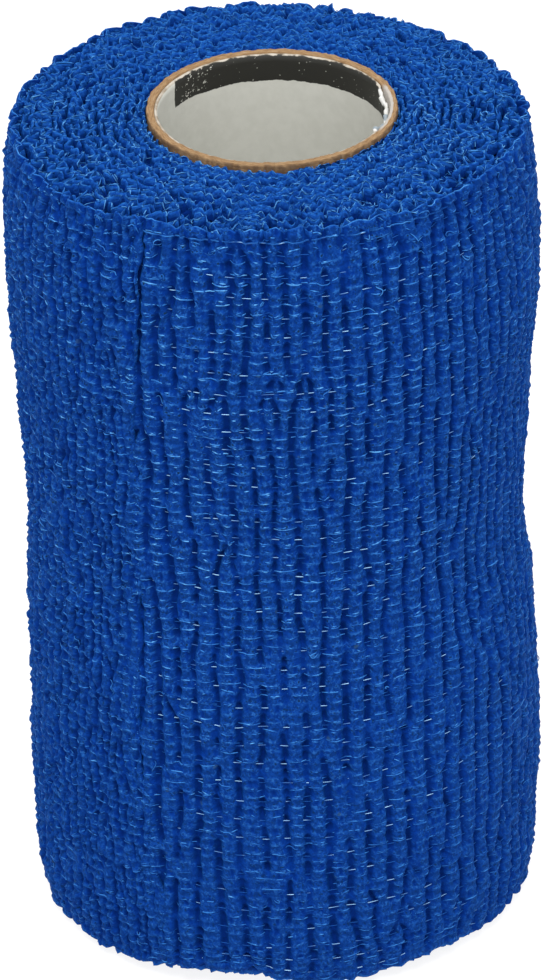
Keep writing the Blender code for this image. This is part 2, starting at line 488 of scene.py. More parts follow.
class Relief:
    """How far the cloth stands off at each place: ribs, creases, pinches and lumps; also where its
    creases and cells get painted shade and its rib tops painted light.
    """

    def __init__(self, seed):
        self.u = np.linspace(0.0, ARC + TUCK, WALL_COLUMNS)
        self.v = np.linspace(WALL_LOW, WALL_HIGH, WALL_ROWS)
        self.du, self.dv = self.u[1], self.v[1] - self.v[0]
        self.places = [[-CREASE_SIDE, ARC + TUCK + CREASE_SIDE] for _ in self.v]
        u, v = np.meshgrid(self.u, self.v, indexing="ij")
        crumpled = crumpling(seed + 9)
        self.trench = self.cut_trenches(grow_creases(seed, crumpled))
        self.trench *= 1.0 - 0.6 * smooth((WALL_LOW + 3.0 - v) / 3.0)
        self.crest = self.find_crests()
        rib = 1.0 - smooth(1.3 * self.trench)
        self.crumple = crumple = crumpled(u, v)
        level = v - sway(u, v)
        cells = open_cells(seed + 6, u, level) * rib
        # painted shade in the creases and cells, and painted light on the rib tops outside the
        # cells
        self.dark = np.maximum(self.trench, cells * (0.50 + 0.15 * crumple))
        self.lit_crest = self.crest * (1.0 - cells)
        rows = np.cos(2 * math.pi * (level - ELASTIC_FIRST) / YARN_STEP)
        rows *= 0.45 + 0.55 * patches(seed + 1, 1.4, 1.3)(u, v)
        self.base = 0.16 * patches(seed + 2, 2.1, 5.0)(u, v)
        fine = (0.08 + 0.10 * crumple) * patches(seed + 3, 0.9, 1.1)(u, v)
        fine += 0.07 * patches(seed + 4, 0.42, 0.5)(u, v)
        fine += 0.12 * crumple * patches(seed + 5, 1.7, 1.9)(u, v)
        self.out = self.base - CREASE_DEPTH * self.trench * (1.0 - 0.2 * crumple)
        self.out += (fine - (0.07 + 0.17 * crumple) * rows) * (0.2 + 0.8 * rib)
        self.out -= (0.18 + 0.20 * crumple) * cells
        self.out -= RIB_SWELL * (1.0 - self.crest)
        self.calm_loose_end(u, v)

    def cut_trenches(self, creases):
        """The creases drawn into the grid, 0 on a rib and about 1 in a deep crease."""
        trench = np.zeros((WALL_COLUMNS, WALL_ROWS))
        reach = int(3.0 * CREASE_HALF_WIDTH / self.du) + 1
        window = np.arange(-reach, reach + 1)
        for number, crease in enumerate(creases):
            near = (self.v > crease.v[0] - CREASE_STEP) & (self.v < crease.v[-1] + CREASE_STEP)
            rows = np.where(near)[0]
            place, depth = crease.at(self.v[near])
            for row, at, deep in zip(rows, place, depth):
                if deep > CREASE_SHOWS:
                    self.places[row].append(float(at))
            width = CREASE_HALF_WIDTH * (0.75 + 0.05 * ((number * 7) % 11))
            width = width * (0.5 + 0.5 * openness(place, self.v[near]))
            width = (width * (0.6 + 0.4 * smooth(depth / 0.5)))[:, None]
            columns = np.round(place / self.du).astype(int)[:, None] + window
            inside = (columns >= 0) & (columns < WALL_COLUMNS)
            columns = np.clip(columns, 0, WALL_COLUMNS - 1)
            away = np.abs(self.u[columns] - place[:, None]) / width
            cut = depth[:, None] * np.exp(-(away ** 4.2))
            lines = np.broadcast_to(rows[:, None], columns.shape)
            np.maximum.at(trench, (columns[inside], lines[inside]), cut[inside])
        return trench

    def find_crests(self):
        """0 in the creases to 1 along the middle of every rib."""
        crest = np.zeros((WALL_COLUMNS, WALL_ROWS))
        for row, places in enumerate(self.places):
            places.sort()
            places = np.array(places)
            after = np.clip(np.searchsorted(places, self.u), 1, len(places) - 1)
            left, right = places[after - 1], places[after]
            share = (self.u - left) / np.maximum(right - left, 0.3)
            crest[:, row] = np.clip(4 * share * (1 - share), 0, 1)
        padded = np.pad(crest, ((0, 0), (3, 3)), "edge")
        return sum(padded[:, n:n + WALL_ROWS] for n in range(7)) / 7

    def calm_loose_end(self, u, v):
        """The last few millimetres of cloth are relaxed, and lifted here and there."""
        flat = smooth((2.6 - u) / 1.6) * (0.25 + 0.75 * smooth(1.3 - np.abs(v - 41.0) / 8.0))
        self.out = self.out * (1 - 0.75 * flat) - 0.10 * flat
        # less painted shade where the loose end lies flat
        self.dark = self.dark * (1 - 0.75 * flat)
        lift = -0.05 + 0.22 * wander(71, 6.0)(v)
        self.out += lift * np.exp(-u / 1.5) + 0.50 * smooth((u - ARC + 8.0) / 8.0)

    def at(self, u, v, field=None):
        """How far the cloth stands off at given places, or another field's value there."""
        across = np.clip(u / self.du, 0, WALL_COLUMNS - 1.001)
        up = np.clip((v - WALL_LOW) / self.dv, 0, WALL_ROWS - 1.001)
        i, j = across.astype(int), up.astype(int)
        return blend(self.out if field is None else field, i, j, across - i, up - j)

    def edge_offset(self, u, top):
        """How far the outer turn's edge strays from its level: an arch on every rib."""
        crest = np.interp(u, self.u, self.crest[:, -2 if top else 1])
        if not top:
            return 0.15 - 0.35 * crest + 0.35 * wander(84, 2.3)(u) + 0.12 * wander(85, 0.8)(u)
        height = by_azimuth(u, HEAD_AZIMUTHS, HEAD_ARCHES)
        stray = 0.25 * wander(81, 3.1)(u) + 0.22 * wander(82, 1.1)(u)
        stray *= 0.55 + 0.45 * np.clip(height, 0.0, 1.0)
        return height * (crest ** 0.8 - 0.6) + by_azimuth(u, HEAD_AZIMUTHS, HEAD_RISES) + stray


def edge_height(relief, u, v):
    """Heights on the wall, stretched near its two ends to follow the edges."""
    top = relief.edge_offset(u, True) * smooth((v - WALL_HIGH + 4.5) / 4.5)
    bottom = relief.edge_offset(u, False) * smooth((WALL_LOW + 4.0 - v) / 4.0)
    bottom += by_azimuth(u, FOOT_AZIMUTHS, FOOT_RISES) * smooth((WALL_LOW + 6.0 - v) / 6.0)
    return v + top + bottom


def wall_points(turn, relief):
    """The outer turn as a grid of points, with its ends and its loose edge turned in."""
    u, v = np.meshgrid(relief.u, relief.v, indexing="ij")
    jag = 0.40 * wander(91, 3.0)(v) + 0.10 * wander(92, 0.8)(v)
    u = u + jag * np.exp(-u / 0.9)
    curl = wander(93, 1.1)(u) * smooth((v - WALL_HIGH + 1.5) / 1.5)
    curl += wander(94, 1.1)(u) * smooth((WALL_LOW + 1.5 - v) / 1.5)
    wall = (u, edge_height(relief, u, v), relief.out + 0.22 * curl)

    def lip(column, sign):
        inward, onward = np.array(END_LIP).T
        rows = [np.repeat(a[:, column][:, None], len(END_LIP), 1) for a in wall]
        return rows[0], rows[1] + sign * onward, rows[2] - inward

    ends = zip(lip(0, -1.0), wall, lip(-1, 1.0))
    grid = [np.concatenate([low[:, ::-1], middle, high], 1) for low, middle, high in ends]
    inward, onward = np.array(EDGE_LIP[::-1]).T
    edge = [np.repeat(a[:1], len(EDGE_LIP), 0) for a in grid]
    edge[0] = edge[0] - onward[:, None]
    edge[2] = edge[2] - inward[:, None]
    u, height, out = [np.concatenate([a, b], 0) for a, b in zip(edge, grid)]
    margin = ((len(EDGE_LIP), 0), (len(END_LIP), len(END_LIP)))
    rows = np.arange(u.shape[1]) - len(END_LIP)
    # edge: the outer turn's top edge painted lighter, partly its own colour and partly painted
    # highlight
    rim = 0.8 * np.clip(1.0 - np.abs(rows - WALL_ROWS) / 2.0, 0.0, 1.0)
    fields = {
        "cloth": np.stack([u, height - sway(u, height), 0 * u], -1),
        # depth carries the painted shade, crest the painted light on the rib tops
        "depth": np.pad(relief.dark, margin, "edge"),
        "crest": np.pad(relief.lit_crest, margin, "edge"),
        "edge": np.broadcast_to(rim, u.shape),
    }
    return turn.place(u, height, out), fields


def outer_wall(turn, relief, material):
    """The outer turn, in sectors that share their normals where they meet."""
    points, fields = wall_points(turn, relief)
    normals = unit(np.cross(np.gradient(points, axis=1), np.gradient(points, axis=0)))
    cuts = np.linspace(0, len(points) - 1, SECTORS + 1).astype(int)
    pieces = []
    for number, (first, last) in enumerate(zip(cuts, cuts[1:]), 1):
        part = slice(first, last + 1)
        here = {field: values[part] for field, values in fields.items()}
        name = f"crepe_outer_turn_{number}"
        pieces.append(grid_object(name, points[part], material, here, normals=normals[part]))
    return pieces


# ---------------------------------------------------------------- threads on the wall


def calm_right(u):
    """How strong the threads are at each place: a little fainter round the right side."""
    return 1.0 - 0.36 * smooth((164.0 - u) / 24.0) * smooth((u - 84.0) / 10.0)


def wall_thread(name, turn, relief, u, v, out, radius, material, tone):
    """Threads that lie on the wall, out from the tops of its ribs."""
    paths = turn.place(u, edge_height(relief, u, v), out)
    return thread_object(name, paths, radius, turn.outward(u, v), 3, material, tone)


def elastic_threads(turn, relief, material):
    """Elastic threads that run round the roll and show where they cross the creases."""
    first = np.arange(ELASTIC_FIRST, WALL_HIGH - 0.5, ELASTIC_STEP)
    u, v = np.meshgrid(np.arange(ELASTIC_FROM, ARC + 1.0, 0.9), first)
    v = v + sway(u, v)
    level = ELASTIC_LEVEL + 0.08 * patches(199, 6.0, 2.4)(u, v)
    tone = 0.43 + 0.48 * patches(198, 2.0, 2.4)(u, v)
    tone *= (1.0 - 0.6 * relief.at(u, v, relief.crumple)) * calm_right(u)
    return wall_thread(
        "elastic_threads", turn, relief, u, v, relief.at(u, v, relief.base) + level,
        ELASTIC_RADIUS, material, np.clip(tone, 0.05, 1.0),
    )


def rib_yarn(draw, relief, v, left, right, short):
    """One yarn on the rib between two creases, as places, heights and tones."""
    along = np.linspace(-1.0, 1.0, 3 if short else 5)
    rib = right - left
    middle = left + rib * draw.normal(0.5, 0.08)
    crumple = relief.at(middle, v, relief.crumple)
    across = draw.uniform() < 0.10 + 0.22 * crumple
    reach = draw.uniform(0.2, 0.38) if short else draw.uniform(0.30, 0.50) * rib
    reach *= 1.0 - 0.2 * crumple
    sag = draw.uniform(0.0, 0.05) if short else draw.uniform(-0.02, 0.16)
    if across:
        furthest = 0.5 if short else 1.6 - 0.7 * crumple
        reach = draw.uniform(0.25 if short else 0.45, furthest)
        sag *= 0.3
    tilt = draw.normal(0.0, 0.07) * along
    rise = sway(middle, v) + draw.normal(0, 0.14)
    level = draw.uniform(0.35, 0.95) if short else draw.uniform(0.10, 0.75)
    level *= (0.62 + 0.53 * smooth((v - 8.0) / 66.0)) * (1.0 - 0.08 * crumple)
    level *= calm_right(middle) + 0.2 * smooth((middle - 168.0) / 8.0)
    tone = np.clip(level + draw.uniform(-0.35, 0.45, len(along)), 0.02, 1.2)
    return middle + reach * along, v + rise + tilt - sag * (1 - along ** 2), tone


def surface_yarns(turn, relief, short, material):
    """Fine yarns across the ribs. Short ones show on a rib's middle, and long ones sag over
    a rib. Some of both, more where the cloth is crumpled, run straighter and further."""
    draw = np.random.default_rng(33 if short else 31)
    share_shown = YARN_SHORT if short else YARN_LONG
    yarns = []
    for v in np.arange(ELASTIC_FIRST - YARN_STEP / 2, WALL_HIGH - 0.4, YARN_STEP):
        places = relief.places[round((v - WALL_LOW) / relief.dv)]
        for left, right in zip(places, places[1:]):
            if draw.uniform() <= share_shown and 0.6 < right - left < 6.0:
                yarns.append(rib_yarn(draw, relief, v, left, right, short))
    u, v, tone = [np.array(rows) for rows in zip(*yarns)]
    u = np.clip(u, 0.1, ARC + TUCK)
    out = np.maximum(relief.at(u, v), relief.at(u, v, relief.base) - 0.30)
    name = "short_yarns" if short else "long_yarns"
    return wall_thread(name, turn, relief, u, v, out, YARN_RADIUS, material, tone)


def yarn_loops(turn, relief, material):
    """Loose loops and curls of yarn on the wall, most of them near the upper edge."""
    draw = np.random.default_rng(32)
    t = np.linspace(0.0, 1.0, 10)
    spans, heights, lifts, tones = [], [], [], []
    for _ in range(LOOPS):
        high = draw.uniform() < 0.6
        middle = WALL_HIGH - abs(draw.normal(0, 4.5)) - 0.8 if high else draw.uniform(2, 96)
        place = draw.uniform(1.5, ARC - 1.0)
        size = draw.uniform(0.25, 0.65)
        turned = draw.uniform(0.6, 3.6) * draw.choice([-1, 1]) * t + draw.uniform(0, 2 * math.pi)
        turned = turned + draw.uniform(0.3, 1.4) * np.sin(math.pi * (draw.uniform(1, 2) * t))
        spans.append(place + np.cumsum(np.cos(turned)) * size * 0.36)
        heights.append(middle + np.cumsum(np.sin(turned)) * size * 0.30)
        lifts.append(0.05 + draw.uniform(0.0, 0.18) * np.sin(math.pi * t))
        tones.append(draw.uniform(0.15, 0.9))
    u, v = np.clip(spans, 0.3, ARC), np.clip(heights, WALL_LOW, WALL_HIGH)
    out = np.maximum(relief.at(u, v), -0.45) + np.array(lifts)
    return wall_thread(
        "yarn_loops", turn, relief, u, v, out, YARN_RADIUS, material, np.array(tones)[:, None]
    )


def edge_thread(turn, relief, material):
    """The yarn that runs along the upper edge of the outer turn."""
    u = np.arange(0.3, ARC + 1.0, 0.3)
    v = np.full(len(u), WALL_HIGH)
    height = edge_height(relief, u, v) + 0.14
    paths = turn.place(u, height, relief.at(u, v) + 0.22 * wander(93, 1.1)(u) - 0.15)[None]
    tone = np.clip(0.50 + 0.55 * wander(95, 1.1)(u), 0.03, 1.1)[None]
    outward = turn.outward(u, height)[None]
    return thread_object("edge_thread", paths, 0.85 * YARN_RADIUS, outward, 4, material, tone)


def rim_thread(turn, relief, across, material):
    """The uppermost thread, nearly level just under the edge: yarn, and across the
    creases elastic thread."""
    u = np.arange(RIM_THREAD_FROM, ARC + 1.0, 0.3)
    v = WALL_HIGH - 0.85 + 0.15 * wander(96, 5.0)(u)
    out = np.maximum(relief.at(u, v) + 0.03, relief.at(u, v, relief.base) - 0.25)
    height = v + by_azimuth(u, HEAD_AZIMUTHS, HEAD_RISES)
    crease = relief.at(u, v - 1.0, relief.trench)
    if across:
        tone = np.clip(0.9 * crease + 0.25 * wander(98, 1.7)(u), 0.0, 0.9)
        height = height - 0.10
    else:
        tone = np.clip(0.55 + 0.45 * wander(97, 1.0)(u) - 0.4 * crease, 0.0, 1.1)
    tone = np.maximum(tone * smooth((u - RIM_THREAD_FROM) / 8.0), 0.01)
    return thread_object(
        "rim_elastic" if across else "rim_yarn", turn.place(u, height, out)[None],
        0.75 * YARN_RADIUS, turn.outward(u, v)[None], 4, material, tone[None],
    )


# ---------------------------------------------------------------- the cut ends


class EndSpiral:
    """The edges of the turns under the outer one, at one end of the roll."""

    def __init__(self, turn, top, seed):
        self.turn, self.top, self.seed = turn, top, seed
        self.sign = 1.0 if top else -1.0
        self.wall = 93.0 if top else 8.0
        self.whole = whole = np.linspace(1.0, TURNS + 0.9, 20000)
        steps = 2 * math.pi * self.middle_radius(whole)[1:] * np.diff(whole)
        self.length = length = np.cumsum(np.concatenate([[0], steps]))
        self.total = float(length[-1])
        waves = WAVE * (1.0 + OUTER_WAVE * smooth((6.0 - whole) / 4.0))
        self.phase = 2 * math.pi * np.cumsum(np.diff(length, prepend=0.0) / waves)
        self.noises = [wander(seed + n, step, self.total) for n, step in enumerate(RUFFLE_STEPS)]
        self.sinks = wander(seed + 8, 1.0, self.total)

    def middle_radius(self, whole):
        """Radius of the middle of the cloth after so many turns from the loose end."""
        share = whole % 1.0
        wall = np.full(len(share), self.wall)
        outer = self.turn.radius(share * ARC, wall) + TURN_THICKNESS * share - OUTER_INSET
        return outer + (CORE_RADIUS + CORE_GAP - outer) * whole / TURNS

    def pit(self, length):
        """How far the edge has sunk at each place, 0 to 1: mostly in the outer front."""
        whole = np.interp(length, self.length, self.whole)
        front = np.clip(by_azimuth((whole % 1.0) * ARC, HEAD_AZIMUTHS, HEAD_ARCHES), 0.0, 1.0)
        often = 0.02 + 0.42 * front * smooth((12.0 - whole) / 6.0)
        return smooth((self.sinks(length) - 0.66 + often) / 0.25) if self.top else 0.0 * whole

    def at(self, length, depth=0.0, beside=0.0):
        """Points so far along the spiral, below its ruffled edge and beside its middle."""
        whole = np.interp(length, self.length, self.whole)
        inside = whole / TURNS
        swing, phase, fine, tall, crisp, slow = [noise(length) for noise in self.noises]
        wave = np.sin(np.interp(length, self.length, self.phase) + 3.0 * phase + whole)
        place = (whole % 1.0) * ARC
        front = by_azimuth(place, HEAD_AZIMUTHS, HEAD_ARCHES) * smooth((6.0 - whole) / 4.0)
        ruffle = 0.62 * wave * (0.60 + 0.40 * swing + 0.50 * front)
        ruffle = ruffle + (0.55 + 0.15 * front) * fine
        ruffle = ruffle * (0.95 - 0.40 * inside) * (1.0 if self.top else 0.5)
        slack = 1.0 - 0.30 * np.minimum(depth, 2.0)
        radius = self.middle_radius(whole) + ruffle * slack + beside
        radius = np.maximum(radius, CORE_RADIUS + 0.12 + 0.07 * crisp)
        under = CLOTH_PITCH * (whole - 0.5)
        rise = (0.30 - 0.14 * inside) * tall + 0.24 * crisp + 0.10 * slow - 0.28 + 0.40 * inside
        sunk = 1.1 * np.clip(1 - under / 3.5, 0, None) ** 2
        rise -= sunk + 0.35 * smooth((inside - 0.94) / 0.05)
        rise -= 0.80 * self.pit(length)
        if self.top:
            head = by_azimuth(place, HEAD_AZIMUTHS, HEAD_RISES) * np.clip(1 - under / 5.0, 0, 1)
            height = CLOTH_TOP + rise + head - depth
        else:
            foot = by_azimuth(place, FOOT_AZIMUTHS, FOOT_RISES) + 0.35 - 0.50 * under
            height = np.maximum(np.maximum(0.02, foot) + depth * 0.9, depth - rise)
        return around(loose_end(self.wall) - 360.0 * whole, radius, height)


def turn_edges(spiral, step, name, material):
    """The ruffled edges of the inner turns, as one long folded band."""
    length = np.arange(0.0, spiral.total, step)
    profile = RIBBON[::-1] if spiral.top else RIBBON
    points = np.stack([spiral.at(length, below, beside) for beside, below in profile], 1)
    depth = np.array([min(below / 1.6, 1.0) for _, below in profile])
    sunk = spiral.pit(length)[:, None]
    # painted light on the edges' tops, partly their own lighter colour; through depth, painted
    # shade lower down and in the sunken pits
    edge_tone_and_light = (1.0 - depth) * (1.0 - 0.8 * sunk)
    along = np.repeat(length[:, None], len(profile), 1)
    strip = np.full(along.shape, 40.0 + spiral.seed)
    return grid_object(name, points, material, {
        "cloth": np.stack([along, points[..., 2], strip], -1),
        "depth": np.clip(0.78 * depth + 0.70 * sunk, 0.0, 1.0),
        "crest": edge_tone_and_light,
        "edge": edge_tone_and_light,
    })


def edge_yarns(spiral, count, name, material):
    """Short lengths of yarn that show on the edges of the inner turns."""
    draw = np.random.default_rng(spiral.seed + 50)
    stations = 3
    first = 0.5 if spiral.top else 0.4 * spiral.total
    start = np.sort(draw.uniform(first, spiral.total - 3.0, count))
    reach = draw.uniform(0.2, 0.7, count)
    length = start[:, None] + reach[:, None] * np.linspace(0, 1, stations)
    wobble = draw.normal(0, 0.10, (count, 1)) + draw.normal(0, 0.06, (count, stations))
    points = spiral.at(length.ravel(), -0.03, wobble.ravel()).reshape(count, stations, 3)
    facing_light = -unit(points * (1.0, 1.0, 0.0))[..., 1]
    points[..., 2] += spiral.sign * draw.uniform(-0.12, 0.06, (count, 1))
    points[..., 2] = np.maximum(points[..., 2], 0.08)
    tones = 1.05 * draw.uniform(0.15, 1.0, (count, 1)) ** 1.3
    tones = tones + draw.uniform(-0.1, 0.3, (count, stations))
    # painted light: yarns on the front, which faces the light, are painted brighter
    tones *= 1.0 + 0.30 * facing_light
    upward = np.broadcast_to((0.0, 0.0, spiral.sign), points.shape)
    return thread_object(name, points, 0.9 * YARN_RADIUS, upward, 3, material, tones.clip(0.05))


def inner_turns(turn, material):
    """The body of the roll behind the outer turn and under the edges of the inner ones."""
    columns = 120
    heights = np.concatenate([[2.4], np.linspace(4.0, 96.0, 18), [97.0]])
    share, v = np.meshgrid(np.arange(columns) / columns, heights, indexing="ij")
    radius = turn.radius(share * ARC, v) + TURN_THICKNESS * share - BODY_INSET - lean(v)
    inner = np.full((columns, 1), CORE_RADIUS + 0.05)
    radius = np.concatenate([inner, radius, inner], 1)
    v = np.concatenate([v[:, :1], v, v[:, -1:]], 1)
    share = np.repeat(share[:, :1], radius.shape[1], 1)
    fields = {
        "cloth": np.stack([share * ARC, v, np.full(v.shape, 90.0)], -1),
        # painted shade: the hidden body takes the dark colour of the creases throughout
        "depth": np.ones(v.shape),
        "crest": np.zeros(v.shape),
    }
    points = around(loose_end(v) - 360.0 * share, radius, v)
    return grid_object("inner_turns", points, material, fields, wrap=True)


# ---------------------------------------------------------------- the core


# The core's columns: their azimuths, the same from -180 to 180, and how torn the ply is there
CORE_AZIMUTHS = (-360.0 * np.arange(CORE_COLUMNS) / CORE_COLUMNS)[:, None]
CORE_SIGNED = (CORE_AZIMUTHS + 180.0) % 360.0 - 180.0
CORE_TORN = smooth((CORE_SIGNED - TORN_FROM) / 6.0) * smooth((TORN_TO - CORE_SIGNED) / 6.0)


def core_board(material):
    """The paperboard tube, with a cut rim at both ends, slightly ragged at the upper one."""
    arc = np.radians(-CORE_AZIMUTHS) * CORE_RADIUS
    ragged = 0.06 * wander(301, 0.33)(arc) + 0.05 * wander(302, 1.7)(arc)
    frayed = 0.10 * wander(303, 0.4)(arc) + 0.07 * wander(304, 0.9)(arc)
    seam = smooth(1 - np.minimum(arc, 2 * math.pi * CORE_RADIUS - arc) / 0.8)
    ragged, frayed = ragged * (1 - seam), frayed * (1 - seam)
    radius, height, fray = np.array(BOARD_ROWS).T
    radius = radius + fray * frayed
    height = height + np.clip((height - 99.0) / 0.8, 0.0, 1.0) * ragged
    fields = {
        "cloth": np.stack([np.broadcast_to(arc, radius.shape), radius, height], -1),
        "depth": np.broadcast_to(CORE_TORN, radius.shape),
    }
    points = around(CORE_AZIMUTHS, radius, height)
    return grid_object("core_board", points, material, fields, wrap=True)


def core_paper(material):
    """The white lining ply, torn and lifted on one side of its upper edge."""
    arc = np.radians(-CORE_AZIMUTHS) * LINER_INNER
    nick = 0.03 * wander(311, 0.5)(arc) * (1 - smooth(1 - arc / 1.0))
    tear = 0.60 + 0.55 * wander(312, 0.8)(arc) + 0.35 * wander(313, 0.35)(arc)
    lift = CORE_TORN * (0.38 + 0.34 * wander(314, 0.9)(arc))
    top = 99.84 + nick - np.clip(CORE_TORN * tear, 0, None)
    outer = CORE_INNER - 0.01 + 0 * arc
    inner = LINER_INNER + 0.02 * wander(315, 4.0)(arc)
    level = 0 * arc
    section = (
        (outer, level + 0.4), (outer, level + 96.0), (outer - 0.6 * lift, top - 0.1),
        (inner + 0.25 - lift, top), (inner - lift, top - 0.15),
        (inner - 0.5 * lift, top - 0.9), (inner, level + 96.0), (inner, level + 50.0),
        (inner, level + 0.4),
    )
    radius, height = [np.concatenate(rows, 1) for rows in zip(*section)]
    from_band = np.abs((CORE_SIGNED - BAND_MIDDLE + 180.0) % 360.0 - 180.0)
    band = np.broadcast_to(from_band, height.shape)
    fields = {
        "cloth": np.stack([band, height, 0 * height], -1),
        "depth": CORE_TORN * smooth((height - 98.3) / 1.0),
    }
    points = around(CORE_AZIMUTHS, radius, height)
    return grid_object("core_paper", points, material, fields, wrap=True)


# ---------------------------------------------------------------- materials


class Paint:
    """Builds one material's nodes. color is what the coats laid so far give."""

    def __init__(self, name, **shader):
        self.material = bpy.data.materials.new(name)
        self.material.use_nodes = True
        self.tree = self.material.node_tree
        self.shader = self.tree.nodes["Principled BSDF"]
        self.color = None
        for socket, value in shader.items():
            self.feed(self.shader.inputs[socket.replace("_", " ")], value)

    def feed(self, socket, value):
        """Gives a socket a link, a colour or a number."""
        if isinstance(value, bpy.types.NodeSocket):
            self.tree.links.new(value, socket)
        elif isinstance(value, tuple) and socket.type == "RGBA":
            socket.default_value = (*value, 1.0)
        else:
            socket.default_value = value

    def node(self, kind, output, inputs, **settings):
        """One output of a new node."""
        node = self.tree.nodes.new("ShaderNode" + kind)
        for key, value in settings.items():
            setattr(node, key, value)
        for socket, value in inputs.items():
            self.feed(node.inputs[socket], value)
        return node.outputs[output]

    def attribute(self, name, output="Fac"):
        return self.node("Attribute", output, {}, attribute_name=name)

    def place(self):
        """The point itself, in metres."""
        return self.node("TexCoord", "Object", {})

    def part(self, vector, axis):
        return self.node("SeparateXYZ", axis, {"Vector": vector})

    def noise(self, vector, scale, detail=2.0, roughness=0.5, output="Fac"):
        inputs = {"Vector": vector, "Scale": scale, "Detail": detail, "Roughness": roughness}
        return self.node("TexNoise", output, inputs)

    def grain(self, vector, stretch, detail, roughness):
        """Noise that is finer along some axes than along others."""
        vector = self.node("Mapping", "Vector", {"Vector": vector, "Scale": stretch})
        return self.noise(vector, 1.0, detail, roughness)

    def ramp(self, factor, low, high, to_low=0.0, to_high=1.0):
        inputs = {"Value": factor, 1: low, 2: high, 3: to_low, 4: to_high}
        return self.node("MapRange", "Result", inputs, interpolation_type="SMOOTHSTEP")

    def math(self, operation, a, b=0.0):
        return self.node("Math", "Value", {0: a, 1: b}, operation=operation)

    def times(self, *factors):
        return reduce(lambda a, b: self.math("MULTIPLY", a, b), factors)

    def plus(self, *terms):
        return reduce(lambda a, b: self.math("ADD", a, b), terms)

    def mix(self, factor, a, b, blend="MIX"):
        inputs = {"Factor": factor, 6: a, 7: b}
        return self.node("Mix", 2, inputs, data_type="RGBA", blend_type=blend)

    def coat(self, factor, color):
        """Lays one more colour over the others."""
        self.color = self.mix(factor, self.color, color)

    def finish(self, bump=None, depth=0.03, strength=0.6):
        """Links the colour and the bump, whose depth is in millimetres."""
        self.feed(self.shader.inputs["Base Color"], self.color)
        if bump is not None:
            inputs = {"Height": bump, "Distance": depth / METRE, "Strength": strength}
            self.feed(self.shader.inputs["Normal"], self.node("Bump", "Normal", inputs))
        return self.material


